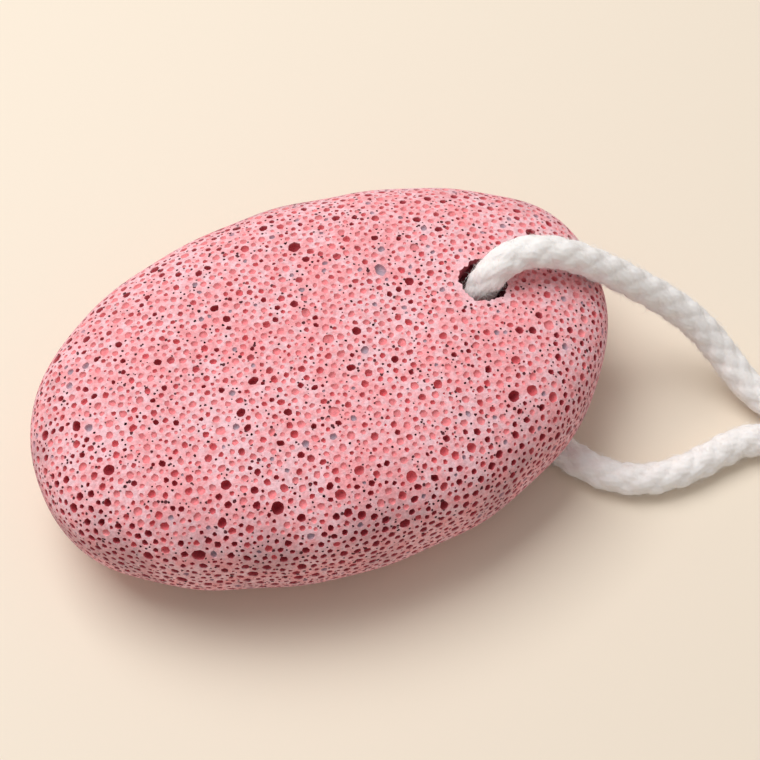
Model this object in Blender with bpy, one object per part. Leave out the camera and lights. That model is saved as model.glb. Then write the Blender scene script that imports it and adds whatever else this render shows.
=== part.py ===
# A pumice stone for the feet, lying on a table, with a white braided cord looped through its rope hole.
# Metres, +Z up. The origin is under the middle of the stone, on the table. +X points along the stone
# towards its rope hole, which is near the narrower end.

import math

import bmesh
import bpy
import numpy as np
from mathutils import Matrix, Vector

mm = 0.001

# The pebble: its plan is a superellipse with a little egg shape, its section is a squarish arch above
# the middle height and a rounder one below it.
halfLength = 48.0 * mm
halfWidth = 31.4 * mm
halfHeight = 14.15 * mm
squareness = 2.43
crownPower = 3.2
bellyPower = 2.78
eggShape = -0.176
planWaves = ((3, -0.046, 0.011), (4, 0.028, 0.010))  # how many round the plan, cosine share, sine share
crownX = 2.2 * mm  # the crown's centre, a little towards the rope hole
crownY = 0.2 * mm
bellyCut = 0.9 * mm  # how much of the rounded belly is rubbed away flat
lumpSize = 0.15 * mm  # slow waves all over, as in a stone that was rubbed by hand
liftHeight = 6.2 * mm  # the underside of the hole end stands this far up, so that the cord passes under it
liftFrom = 2.0 * mm
liftTo = 25.0 * mm

# The rope hole, straight through, with worn mouths.
holeX = 27.7 * mm
holeY = 0.3 * mm
holeRadius = 4.15 * mm
mouthRadius = 5.0 * mm
mouthDepth = 1.6 * mm
holeSides = 20

# The facets of the pebble.
planFacets = 40
ringSpacing = 5.2 * mm
planSamples = 1440
profileSamples = 4000

# The largest pores. Those in the list are the ones that stand out on the real stone, as place along the
# stone, place across it and radius in millimetres. The others are scattered.
poreSeed = 31
poreCount = 200
poreSmallest = 0.95 * mm
poreLargest = 1.45 * mm
poreGap = 0.45 * mm
poreSides = 7
standoutPores = (
    (-30.7, -23.5, 1.35), (-17.2, -23.1, 1.25), (-23.1, -17.0, 1.05), (-40.7, 2.2, 1.15),
    (2.3, 18.6, 1.35), (13.1, 8.4, 1.45), (-4.0, -22.7, 1.0), (-32.3, 13.1, 0.95),
    (23.3, -20.2, 1.2), (26.2, -15.0, 0.95), (29.4, -21.8, 1.05), (-37.5, -20.3, 1.05),
    (20.0, 10.6, 0.95), (-25.7, -21.8, 1.0), (-8.0, -24.8, 1.1), (6.8, -31.0, 1.05),
)

# The cord and its knot. Both routes start in the middle of the hole and end at the knot.
cordDiameter = 5.0 * mm
cordSpacing = 3.6 * mm
upperRoute = (  # millimetres
    (26.75, 0.3, 14.5), (26.6, 0.2, 18.5), (26.65, 0.1, 22.2), (27.25, 0.0, 25.6), (28.7, 0.2, 28.4),
    (31.1, 0.5, 30.3), (34.4, 0.4, 31.1), (38.4, -0.5, 30.4), (42.2, -1.7, 28.7), (45.7, -3.1, 26.3),
    (49.3, -4.8, 23.6), (53.4, -6.9, 20.2), (57.4, -9.2, 16.8), (61.0, -11.9, 13.3), (63.7, -15.0, 10.1),
    (65.5, -18.4, 7.3), (66.9, -22.0, 5.2), (68.4, -25.3, 3.7), (70.2, -28.2, 2.9), (72.3, -30.6, 2.7),
    (74.0, -32.2, 2.9),
)
lowerRoute = (  # millimetres
    (26.75, 0.5, 14.1), (26.8, 1.0, 11.3), (27.0, 1.0, 8.8), (27.3, 0.1, 6.2), (27.7, -2.0, 4.1),
    (28.1, -4.8, 2.9), (28.7, -8.2, 2.6), (29.7, -12.4, 2.6), (31.2, -16.8, 2.6), (33.2, -21.2, 2.6),
    (35.6, -25.4, 2.6), (38.6, -29.0, 2.6), (42.4, -31.5, 2.6), (46.8, -32.8, 2.6), (51.6, -33.1, 2.6),
    (56.6, -32.7, 2.6), (61.5, -32.4, 2.6), (65.6, -33.4, 2.6), (68.9, -35.1, 2.7),
    (70.8, -36.4, 2.9),
)
knotStart = (70.7, -33.0)  # millimetres, between the two strands' ends
knotHeading = math.radians(-38.0)
knotLength = 14.0 * mm
knotWidth = 12.4 * mm
knotHeight = 10.6 * mm
tailLengths = (17.0 * mm, 14.0 * mm)
tailTurns = (math.radians(24.0), math.radians(-20.0))
socketLength = 7.0 * mm
gap = 0.3 * mm


def clearScene():
    for old in list(bpy.data.objects):
        bpy.data.objects.remove(old, do_unlink=True)


def makeMaterial(name, colour, roughness):
    material = bpy.data.materials.new(name)
    material.use_nodes = True
    shader = material.node_tree.nodes["Principled BSDF"]
    shader.inputs["Base Color"].default_value = (*colour, 1.0)
    shader.inputs["Roughness"].default_value = roughness
    shader.inputs["Metallic"].default_value = 0.0
    return material


def meshObject(name, points, faces):
    mesh = bpy.data.meshes.new(name)
    mesh.from_pydata([tuple(p) for p in points], [], faces)
    mesh.validate()
    built = bpy.data.objects.new(name, mesh)
    bpy.context.scene.collection.objects.link(built)
    return built


def planOutline():
    """The plan's reach from the crown's centre, as a function of the direction round it."""
    angle = np.linspace(-math.pi, math.pi, planSamples + 1)
    c, s = np.cos(angle), np.sin(angle)
    size = (np.abs(c) ** squareness + np.abs(s) ** squareness) ** (-1 / squareness)
    size = size * (1 + sum(a * np.cos(n * angle) + b * np.sin(n * angle) for n, a, b in planWaves))
    x, y = halfLength * size * c, halfWidth * size * s * (1 + eggShape * size * c)
    turn = np.arctan2(y, x)
    order = np.argsort(turn)
    return turn[order], np.hypot(x, y)[order]


def stoneProfile():
    """The section from the crown to the belly: share of the plan's reach and height, against the
    logarithm of a radius that grows as the distance along the section over the distance from the axis.
    That radius unrolls the stone on a flat chart without stretching small shapes."""
    q = np.linspace(math.pi / 2, -math.pi / 2, profileSamples + 1)[1:-1]
    power = np.where(q > 0, crownPower, bellyPower)
    size = (np.cos(q) ** power + np.abs(np.sin(q)) ** power) ** (-1 / power)
    share, height = np.cos(q) * size, np.sin(q) * size
    mean = math.sqrt(halfLength * halfWidth)
    step = np.hypot(mean * np.diff(share), halfHeight * np.diff(height))
    logRadius = np.cumsum(step / (mean * (share[1:] + share[:-1]) / 2))
    return math.log(share[0]) + np.concatenate([[0.0], logRadius]), share, height


outlineTurn, outlineReach = planOutline()
chartLog, profileShare, profileHeight = stoneProfile()


def reachAt(turn):
    return np.interp(turn, outlineTurn, outlineReach, period=2 * math.pi)


def stonePoint(u, v):
    """The point of the stone's skin at (u, v) of the flat chart, which is the plan view near the crown."""
    turn = np.arctan2(v, u)
    reach = reachAt(turn)
    logRadius = np.log(np.maximum(np.hypot(u, v) / reach, math.exp(chartLog[0])))
    share = np.interp(logRadius, chartLog, profileShare)
    height = np.interp(logRadius, chartLog, profileHeight)
    x = crownX + share * reach * np.cos(turn)
    y = crownY + share * reach * np.sin(turn)
    z = halfHeight * (1 + height) - bellyCut * np.maximum(0, -height)
    lump = np.sin(210 * x + 1.3) * np.sin(240 * y + 0.4) + 0.6 * np.sin(390 * x - 170 * y + 150 * z + 2.0)
    lump = lump * lumpSize
    x, y, z = x * (1 + lump / halfLength), y * (1 + lump / halfWidth), z + lump * height
    ramp = np.clip((x - liftFrom) / (liftTo - liftFrom), 0, 1)
    lift = liftHeight * ramp * ramp * (3 - 2 * ramp)
    return np.stack([x, y, (np.maximum(z, 0) ** 6 + lift**6) ** (1 / 6)], -1)


def stoneFrame(u, v):
    """Points of the skin with two tangents and the outward normal there."""
    step = 0.02 * mm
    point = stonePoint(u, v)
    along = stonePoint(u + step, v) - stonePoint(u - step, v)
    across = stonePoint(u, v + step) - stonePoint(u, v - step)
    normal = np.cross(along, across)
    normal /= np.linalg.norm(normal, axis=-1, keepdims=True)
    along /= np.linalg.norm(along, axis=-1, keepdims=True)
    return point, along, np.cross(normal, along), normal


def scatteredPores():
    """Places (u, v) on the chart and radii of the largest pores: the standouts, then a seeded scatter that
    is even over the skin, keeps off the belly, the hole's mouths and the pores before it."""
    rng = np.random.default_rng(poreSeed)
    fineTurn = np.linspace(-math.pi, math.pi, 361)[:-1]
    fineLog = np.linspace(math.log(0.02), math.log(3.4), 400)
    turns, logs = np.meshgrid(fineTurn, fineLog)
    u = np.exp(logs) * reachAt(turns) * np.cos(turns)
    v = np.exp(logs) * reachAt(turns) * np.sin(turns)
    corners = stonePoint(u, v)
    area = np.linalg.norm(
        np.cross(np.roll(corners, -1, 1)[:-1] - corners[:-1], corners[1:] - corners[:-1]), axis=-1
    ).ravel()
    places, radii, points = [], [], []
    for x, y, r in standoutPores:
        near = np.argmin(np.hypot(corners[..., 0] - x * mm, corners[..., 1] - y * mm)
                         + 10.0 * (corners[..., 2] < halfHeight))
        places.append((u.ravel()[near], v.ravel()[near]))
        radii.append(r * mm)
        points.append(corners.reshape(-1, 3)[near])
    wanted = np.sort(poreSmallest + (poreLargest - poreSmallest) * rng.random(poreCount) ** 2.2)[::-1]
    cells = rng.choice(area.size, 40 * poreCount, p=area / area.sum())
    tried = 0
    for r in wanted[: poreCount - len(radii)]:
        while True:
            cell = cells[tried]
            tried += 1
            point = corners[:-1].reshape(-1, 3)[cell]
            offHole = math.hypot(point[0] - holeX, point[1] - holeY) > mouthRadius + r + poreGap
            offBelly = point[2] > 1.2 * mm
            others = np.linalg.norm(np.array(points) - point, axis=1)
            if offHole and offBelly and (others > np.array(radii) + r + poreGap).all():
                break
        places.append((u[:-1].ravel()[cell], v[:-1].ravel()[cell]))
        radii.append(r)
        points.append(point)
    return np.array(places), np.array(radii)


def pebbleMesh():
    """Rings of about equal spacing, from a point at the crown down to a point in the flat belly."""
    turns = np.linspace(-math.pi, math.pi, planSamples + 1)
    edge = np.stack([reachAt(turns) * np.cos(turns), reachAt(turns) * np.sin(turns)], -1)
    walked = np.concatenate([[0.0], np.cumsum(np.linalg.norm(np.diff(edge, axis=0), axis=1))])
    turns = np.interp(np.linspace(0, walked[-1], planFacets + 1)[:-1], walked, turns)
    fine = np.linspace(math.log(0.02), math.log(50.0), profileSamples)
    radius = np.exp(fine) * reachAt(math.pi / 2)
    section = stonePoint(np.zeros_like(radius), radius)
    length = np.concatenate([[0.0], np.cumsum(np.linalg.norm(np.diff(section, axis=0), axis=1))])
    rings = np.linspace(0, length[-1], round(length[-1] / ringSpacing) + 1)[1:-1]
    radii = np.exp(np.interp(rings, length, fine))
    points = [stonePoint(np.array([1e-6]), np.array([0.0]))[0]]
    for r in radii:
        points += list(stonePoint(r * reachAt(turns) * np.cos(turns), r * reachAt(turns) * np.sin(turns)))
    points.append(np.array([crownX, crownY, 0.0]))
    n, last = planFacets, 1 + (len(radii) - 1) * planFacets
    faces = [(0, 1 + k, 1 + (k + 1) % n) for k in range(n)]
    for ring in range(len(radii) - 1):
        a, b = 1 + ring * n, 1 + (ring + 1) * n
        faces += [(a + k, b + k, b + (k + 1) % n, a + (k + 1) % n) for k in range(n)]
    faces += [(last + k, len(points) - 1, last + (k + 1) % n) for k in range(n)]
    return points, faces


def turnedCutter(name, x, y, profile, sides):
    """A closed solid turned about a vertical axis, from (height, radius) pairs that run upwards."""
    angles = 2 * math.pi * np.arange(sides) / sides
    points = [(x + r * math.cos(a), y + r * math.sin(a), z) for z, r in profile for a in angles]
    faces = [tuple(reversed(range(sides)))]
    for ring in range(len(profile) - 1):
        a, b = ring * sides, (ring + 1) * sides
        faces += [(a + k, a + (k + 1) % sides, b + (k + 1) % sides, b + k) for k in range(sides)]
    faces.append(tuple((len(profile) - 1) * sides + k for k in range(sides)))
    return asCutter(meshObject(name, points, faces))


def asCutter(cutter):
    cutter.hide_render = True
    cutter.display_type = "WIRE"
    return cutter


def poreCutter():
    """All the large pores as one mesh of separate blunt bubbles: a lid above the skin, a waist below it
    and a point at the bottom, each turned and drawn out a little in its own direction."""
    places, radii = scatteredPores()
    rng = np.random.default_rng(poreSeed + 1)
    point, along, across, normal = stoneFrame(places[:, 0], places[:, 1])
    points, faces = [], []
    for k, r in enumerate(radii):
        angles = 2 * math.pi * (np.arange(poreSides) + rng.random()) / poreSides
        drawn = 1 + 0.16 * rng.random() * np.cos(2 * (angles - math.pi * rng.random()))
        depth = r * (0.9 + 0.5 * rng.random())
        rim = (np.cos(angles) * drawn)[:, None] * along[k] + (np.sin(angles) * drawn)[:, None] * across[k]
        first = len(points)
        points.append(point[k] + normal[k] * 0.55 * r)
        points += list(point[k] + rim * 1.12 * r + normal[k] * 0.4 * r)
        points += list(point[k] + rim * 0.84 * r - normal[k] * 0.52 * depth)
        points.append(point[k] - normal[k] * depth)
        for j in range(poreSides):
            a, b = first + 1 + j, first + 1 + (j + 1) % poreSides
            faces.append((first, a, b))
            faces.append((a, a + poreSides, b + poreSides, b))
            faces.append((a + poreSides, first + 1 + 2 * poreSides, b + poreSides))
    return asCutter(meshObject("pore_cutter", points, faces))


def subtract(target, cutter):
    modifier = target.modifiers.new(cutter.name, "BOOLEAN")
    modifier.operation = "DIFFERENCE"
    modifier.solver = "EXACT"
    modifier.object = cutter


def makeStone():
    stone = meshObject("stone", *pebbleMesh())
    over, under = 2 * halfHeight + 2 * mm, liftHeight
    crown = 2 * halfHeight - 0.9 * mm
    hole = turnedCutter(
        "rope_hole_cutter", holeX, holeY,
        (
            (-1 * mm, mouthRadius), (under - 0.4 * mm, mouthRadius), (under + mouthDepth, holeRadius),
            (crown - mouthDepth, holeRadius), (crown + 0.3 * mm, mouthRadius), (over, mouthRadius),
        ),
        holeSides,
    )
    subtract(stone, hole)
    subtract(stone, poreCutter())
    stone.data.materials.append(makeMaterial("pink foamed pumice", (0.86, 0.36, 0.40), 0.92))


def smoothCurve(points, spacing):
    """Points at equal spacing along a Catmull-Rom curve through the given ones."""
    p = np.array(points) * mm
    p = np.vstack([2 * p[0] - p[1], p, 2 * p[-1] - p[-2]])
    t = np.linspace(0, 1, 24, endpoint=False)[:, None]
    runs = [
        0.5 * (
            2 * b + (c - a) * t + (2 * a - 5 * b + 4 * c - d) * t**2 + (3 * b - a - 3 * c + d) * t**3
        )
        for a, b, c, d in zip(p[:-3], p[1:-2], p[2:-1], p[3:])
    ]
    fine = np.vstack([*runs, p[-2:-1]])
    walked = np.concatenate([[0.0], np.cumsum(np.linalg.norm(np.diff(fine, axis=0), axis=1))])
    at = np.linspace(0, walked[-1], round(walked[-1] / spacing) + 1)
    return np.stack([np.interp(at, walked, fine[:, k]) for k in range(3)], -1)


def makeCord(name, route, material):
    curve = bpy.data.curves.new(name, "CURVE")
    curve.dimensions = "3D"
    curve.bevel_depth = cordDiameter / 2
    curve.bevel_resolution = 2
    curve.use_fill_caps = True
    points = smoothCurve(route, cordSpacing)
    spline = curve.splines.new("POLY")
    spline.points.add(len(points) - 1)
    for place, p in zip(spline.points, points):
        place.co = (*p, 1.0)
    spline.use_smooth = True
    cord = bpy.data.objects.new(name, curve)
    bpy.context.scene.collection.objects.link(cord)
    curve.materials.append(material)


def lumpObject(name, centre, heading, size, segments, rings):
    """An egg of the given length, width and height, lying along a heading."""
    mesh = bpy.data.meshes.new(name)
    form = bmesh.new()
    bmesh.ops.create_uvsphere(form, u_segments=segments, v_segments=rings, radius=0.5)
    place = Matrix.Translation(Vector(centre)) @ Matrix.Rotation(heading, 4, "Z")
    bmesh.ops.transform(form, matrix=place @ Matrix.Diagonal((*size, 1.0)), verts=form.verts)
    form.to_mesh(mesh)
    form.free()
    lump = bpy.data.objects.new(name, mesh)
    bpy.context.scene.collection.objects.link(lump)
    return lump


def union(target, other):
    modifier = target.modifiers.new(other.name, "BOOLEAN")
    modifier.operation = "UNION"
    modifier.solver = "EXACT"
    modifier.object = asCutter(other)


def rodObject(name, start, end, radius, sides):
    """A closed straight rod between two points."""
    mesh = bpy.data.meshes.new(name)
    form = bmesh.new()
    way = end - start
    place = Matrix.Translation((start + end) / 2) @ way.to_track_quat("Z", "Y").to_matrix().to_4x4()
    bmesh.ops.create_cone(
        form, cap_ends=True, segments=sides, radius1=radius, radius2=radius, depth=way.length, matrix=place
    )
    form.to_mesh(mesh)
    form.free()
    rod = bpy.data.objects.new(name, mesh)
    bpy.context.scene.collection.objects.link(rod)
    return rod


def makeKnot(material):
    """The knot's body lies where the two strands meet; a turn of cord wraps its near half, two tails leave
    its far end, and each strand goes into a socket in its near end."""
    ahead = Vector((math.cos(knotHeading), math.sin(knotHeading), 0))
    start = Vector((knotStart[0] * mm, knotStart[1] * mm, knotHeight / 2)) + ahead * gap
    body = start + ahead * knotLength / 2
    knot = lumpObject("cord_knot", body, knotHeading, (knotLength, knotWidth, knotHeight), 20, 12)
    wrap = start + ahead * knotLength * 0.42
    wrapSize = (cordDiameter * 1.25, knotWidth * 1.07, knotHeight * 0.99)
    union(knot, lumpObject("knot_wrap", wrap, knotHeading, wrapSize, 14, 10))
    for k, (length, turn) in enumerate(zip(tailLengths, tailTurns)):
        out = Vector((math.cos(knotHeading + turn), math.sin(knotHeading + turn), 0))
        root = start + ahead * knotLength * 0.62
        root.z = cordDiameter / 2
        union(knot, rodObject(f"knot_tail_{k + 1}", root, root + out * length, cordDiameter * 0.49, 12))
    for k, route in enumerate((upperRoute, lowerRoute)):
        before, end = (Vector(p) * mm for p in route[-2:])
        way = (end - before).normalized()
        near, far = end - way * socketLength, end + way * gap
        subtract(knot, asCutter(rodObject(f"knot_socket_{k + 1}", near, far, cordDiameter / 2 + gap, 12)))
    knot.data.materials.append(material)


clearScene()
makeStone()
white = makeMaterial("white cotton braid", (0.88, 0.86, 0.84), 0.9)
makeCord("cord_upper", upperRoute, white)
makeCord("cord_lower", lowerRoute, white)
makeKnot(white)
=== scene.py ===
# A pink pumice stone for the feet with a white braided cord through its rope hole, lying on a pale table.
# Metres, +Z up, the origin under the middle of the stone. +X points along the stone towards the hole.

import math

import bpy
import numpy as np
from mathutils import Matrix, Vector
from mathutils.geometry import delaunay_2d_cdt


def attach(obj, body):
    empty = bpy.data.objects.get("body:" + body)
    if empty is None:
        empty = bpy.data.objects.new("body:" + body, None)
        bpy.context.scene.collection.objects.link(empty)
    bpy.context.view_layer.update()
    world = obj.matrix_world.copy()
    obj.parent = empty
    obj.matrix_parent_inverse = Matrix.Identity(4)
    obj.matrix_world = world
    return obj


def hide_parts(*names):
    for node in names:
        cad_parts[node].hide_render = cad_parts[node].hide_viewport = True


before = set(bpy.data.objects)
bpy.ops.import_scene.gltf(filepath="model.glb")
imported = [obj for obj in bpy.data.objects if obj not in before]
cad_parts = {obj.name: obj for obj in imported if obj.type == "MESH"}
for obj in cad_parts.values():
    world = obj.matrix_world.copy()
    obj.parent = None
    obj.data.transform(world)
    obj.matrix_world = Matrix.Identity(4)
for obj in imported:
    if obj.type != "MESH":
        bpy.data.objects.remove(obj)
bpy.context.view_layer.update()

mm = 0.001


# Linear colour of an sRGB hex string: each share over 12.92 near black, a power of 2.4 above it.
def linear(hexColour):
    share = np.array([int(hexColour[k : k + 2], 16) for k in (1, 3, 5)]) / 255
    return np.where(share <= 0.04045, share / 12.92, ((share + 0.055) / 1.055) ** 2.4)


# The same colour with full cover, as sockets take it.
def paint(hexColour):
    return (*linear(hexColour), 1.0)


# camera: looks down at 60 degrees from the front left, as the photo does
camera = bpy.data.objects.new("camera", bpy.data.cameras.new("camera"))
camera.data.lens = 77.0
camera.data.sensor_width = 36.0
camera.location = (-45.3 * mm, -125.7 * mm, 245.95 * mm)
camera.rotation_euler = Vector((0.1994, 0.4585, -0.8660)).to_track_quat("-Z", "Y").to_euler()
bpy.context.scene.collection.objects.link(camera)
bpy.context.scene.camera = camera


# A material with its shader's own sockets set.
def makeMaterial(name, **sockets):
    material = bpy.data.materials.new(name)
    material.use_nodes = True
    shader = material.node_tree.nodes["Principled BSDF"]
    for key, value in sockets.items():
        shader.inputs[key.replace("_", " ")].default_value = value
    return material, material.node_tree, shader


# Adds one node with its settings and, by input name or number, its values and links.
def addNode(tree, kind, settings=(), inputs=()):
    node = tree.nodes.new(kind)
    for key, value in dict(settings).items():
        setattr(node, key, value)
    for key, value in dict(inputs).items():
        if isinstance(value, bpy.types.NodeSocket):
            tree.links.new(value, node.inputs[key])
        else:
            node.inputs[key].default_value = value
    return node


# A value carried evenly from low and high to start and end, and held beyond them.
def ramp(tree, value, low, high, start, end, curve="LINEAR"):
    return addNode(tree, "ShaderNodeMapRange", {"interpolation_type": curve}, {
        "Value": value, "From Min": low, "From Max": high, "To Min": start, "To Max": end}).outputs[0]


# One operation on values and links.
def worked(tree, operation, *values):
    return addNode(tree, "ShaderNodeMath", {"operation": operation}, dict(enumerate(values))).outputs[0]


# The first colour where the factor is nought, the second where it is one.
def mixed(tree, factor, first, second):
    return addNode(tree, "ShaderNodeMix", {"data_type": "RGBA"}, {
        "Factor": factor, 6: first, 7: second}).outputs[2]


# A mesh object of points and faces, shaded smooth and put in the scene.
def meshObject(name, points, faces, material):
    mesh = bpy.data.meshes.new(name)
    mesh.from_pydata(points, [], faces)
    mesh.materials.append(material)
    mesh.shade_smooth()
    made = bpy.data.objects.new(name, mesh)
    bpy.context.scene.collection.objects.link(made)
    return made


# cord: white cotton, eight strands braided round, soft and a little fuzzy
cordLook = dict(
    diameter=5.0 * mm,
    ringSpacing=0.3 * mm,
    sides=56,
    strandPairs=4,
    pitch=18.0 * mm,
    strandHeight=0.55 * mm,
    weaveLift=0.24 * mm,
    plyHeight=0.09 * mm,
    fibres=5200,
    fibreLength=(0.8 * mm, 2.4 * mm),
    fibreRadius=0.019 * mm,
    fibreLift=(0.15, 0.75),
    fibreBend=0.35,
    fibreTip=0.45,
    fibreRoot=0.05 * mm,
    fibreTableGap=0.03 * mm,
    swell=0.03,
    swellLength=4.5 * mm,
    oval=0.02,
    ovalLength=7.3 * mm,
    endPoint=0.2 * mm,
    tableGap=0.02 * mm,
)
upperRoute = (  # millimetres
    (26.75, 0.3, 14.5), (26.6, 0.2, 18.5), (26.65, 0.1, 22.2), (27.25, 0.0, 25.6), (28.7, 0.2, 28.4),
    (31.1, 0.5, 30.3), (34.4, 0.4, 31.1), (38.4, -0.5, 30.4), (42.2, -1.7, 28.7), (45.7, -3.1, 26.3),
    (49.3, -4.8, 23.6), (53.4, -6.9, 20.2), (57.4, -9.2, 16.8), (61.0, -11.9, 13.3), (63.7, -15.0, 10.1),
    (65.5, -18.4, 7.3), (66.9, -22.0, 5.2), (68.4, -25.3, 3.7), (70.2, -28.2, 2.9), (72.3, -30.6, 2.7),
    (74.0, -32.2, 2.9),
)
lowerRoute = (  # millimetres
    (26.75, 0.5, 14.1), (26.8, 1.0, 11.3), (27.0, 1.0, 8.8), (27.3, 0.1, 6.2), (27.7, -2.0, 4.1),
    (28.1, -4.8, 2.9), (28.7, -8.2, 2.6), (29.7, -12.4, 2.6), (31.2, -16.8, 2.6), (33.2, -21.2, 2.6),
    (35.6, -25.4, 2.6), (38.6, -29.0, 2.6), (42.4, -31.5, 2.6), (46.8, -32.8, 2.6), (51.6, -33.1, 2.6),
    (56.6, -32.7, 2.6), (61.5, -32.4, 2.6), (65.6, -33.4, 2.6), (68.9, -35.1, 2.7),
    (70.8, -36.4, 2.9),
)


# Points at equal spacing along a Catmull-Rom curve: on each stretch a cubic of its two ends and their
# neighbours, then resampled by the distance walked.
def smoothCurve(points, spacing):
    p = np.array(points) * mm
    p = np.vstack([2 * p[0] - p[1], p, 2 * p[-1] - p[-2]])
    t = np.linspace(0, 1, 24, endpoint=False)[:, None]
    runs = [
        0.5 * (
            2 * b + (c - a) * t + (2 * a - 5 * b + 4 * c - d) * t**2 + (3 * b - a - 3 * c + d) * t**3
        )
        for a, b, c, d in zip(p[:-3], p[1:-2], p[2:-1], p[3:])
    ]
    fine = np.vstack([*runs, p[-2:-1]])
    walked = np.concatenate([[0.0], np.cumsum(np.linalg.norm(np.diff(fine, axis=0), axis=1))])
    at = np.linspace(0, walked[-1], round(walked[-1] / spacing) + 1)
    return np.stack([np.interp(at, walked, fine[:, k]) for k in range(3)], -1), at


# Two directions across a line at each of its points: the first starts square to a fixed slant and is
# carried along by taking off, ring by ring, its share along the line. The second is square to both.
def carriedFrames(line):
    ahead = np.gradient(line, axis=0)
    ahead /= np.linalg.norm(ahead, axis=1, keepdims=True)
    side = np.cross(ahead[0], [0.31, 0.9, 0.3])
    sides = []
    for way in ahead:
        side = side - way * (side @ way)
        side = side / np.linalg.norm(side)
        sides.append(side)
    sides = np.array(sides)
    return ahead, sides, np.cross(ahead, sides)


# Height of the braid over its core at angle a and distance s: strands of both hands as half ellipses
# across, each rising where it passes over the other hand and sinking where it passes under, the higher
# of the two showing. Fine plies run slantwise on every strand.
def braidHeight(a, s, look):
    n = look["strandPairs"]
    right = n * (a - 2 * math.pi * s / look["pitch"])
    left = n * (a + 2 * math.pi * s / look["pitch"]) + math.pi
    heights = []
    for own, other, sign in ((right, left, 1), (left, right, -1)):
        index = np.round(own / (2 * math.pi))
        across = (own - 2 * math.pi * index) / math.pi
        hill = np.sqrt(np.clip(1 - (across / 1.04) ** 2, 0, 1))
        lift = sign * np.cos(math.pi * index + other / 2)
        ply = np.cos(9.0 * across + 1.6 * other) * np.clip(1 - across**2, 0, 1)
        strand = look["strandHeight"] * (hill - 1)
        heights.append(strand + look["weaveLift"] * lift + look["plyHeight"] * ply)
    return np.maximum(*heights)


# The tube: rings across the line whose radius is the cord's plus the braid's height, times two slow waves
# of a few hundredths, none of it below the table, closed by a point at either end.
def braidedTube(name, route, look, material, radius, seed):
    line, walked = smoothCurve(route, look["ringSpacing"])
    ahead, side, over = carriedFrames(line)
    n = look["sides"]
    a, s = np.meshgrid(2 * math.pi * np.arange(n) / n, walked)
    swell = look["swell"] * np.sin(2 * math.pi * s / look["swellLength"] + seed)
    oval = look["oval"] * np.sin(2 * a + s / look["ovalLength"] + 2 * seed)
    reach = (radius + braidHeight(a, s, look)) * (1 + swell + oval)
    rings = line[:, None] + reach[..., None] * (
        np.cos(a)[..., None] * side[:, None] + np.sin(a)[..., None] * over[:, None]
    )
    rings[..., 2] = np.maximum(rings[..., 2], look["tableGap"])
    count = len(line)
    tips = [line[0] - look["endPoint"] * ahead[0], line[-1] + look["endPoint"] * ahead[-1]]
    points = np.vstack([rings.reshape(-1, 3), *tips])
    row, column = np.meshgrid(np.arange(count - 1), np.arange(n), indexing="ij")
    nextColumn = (column + 1) % n
    quads = np.stack([row * n + column, row * n + nextColumn, (row + 1) * n + nextColumn,
                      (row + 1) * n + column], -1).reshape(-1, 4)
    k = np.arange(n)
    first = np.stack([(k + 1) % n, k, np.full(n, count * n)], -1)
    last = np.stack([k, (k + 1) % n, np.full(n, count * n + 1)], -1) + [
        [(count - 1) * n, (count - 1) * n, 0]]
    tube = meshObject(name, points, quads.tolist() + first.tolist() + last.tolist(), material)
    return tube, line, walked, rings


# Loose fibres: each starts on a random place of the rings, leaves it at a low slant and bends over: its
# root plus its length times t along the skin, a rise slowed by t squared, and a side bend by t squared.
def looseFibres(name, rings, line, look, material, seed, count):
    rng = np.random.default_rng(seed)
    row = rng.integers(1, len(line) - 1, count)
    column = rng.integers(0, rings.shape[1], count)
    root = rings[row, column]
    out = root - line[row]
    out /= np.linalg.norm(out, axis=1, keepdims=True)
    along = line[row + 1] - line[row - 1]
    along /= np.linalg.norm(along, axis=1, keepdims=True)
    around = np.cross(along, out)
    turn = rng.uniform(0, 2 * math.pi, count)[:, None]
    flat = np.cos(turn) * along + np.sin(turn) * around
    length = rng.uniform(*look["fibreLength"], count)[:, None]
    rise = rng.uniform(*look["fibreLift"], count)[:, None] ** 1.5
    bend = rng.normal(0, look["fibreBend"], (count, 1)) * np.cross(out, flat)
    t = np.linspace(0, 1, 5)[None, :, None]
    path = root[:, None] - out[:, None] * look["fibreRoot"] + length[:, None] * (
        flat[:, None] * t + out[:, None] * rise[:, None] * (t - 0.55 * t**2) + bend[:, None] * t**2
    )
    path[..., 2] = np.maximum(path[..., 2], look["fibreTableGap"])
    return fibreTubes(name, path, look["fibreRadius"], material)


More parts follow.
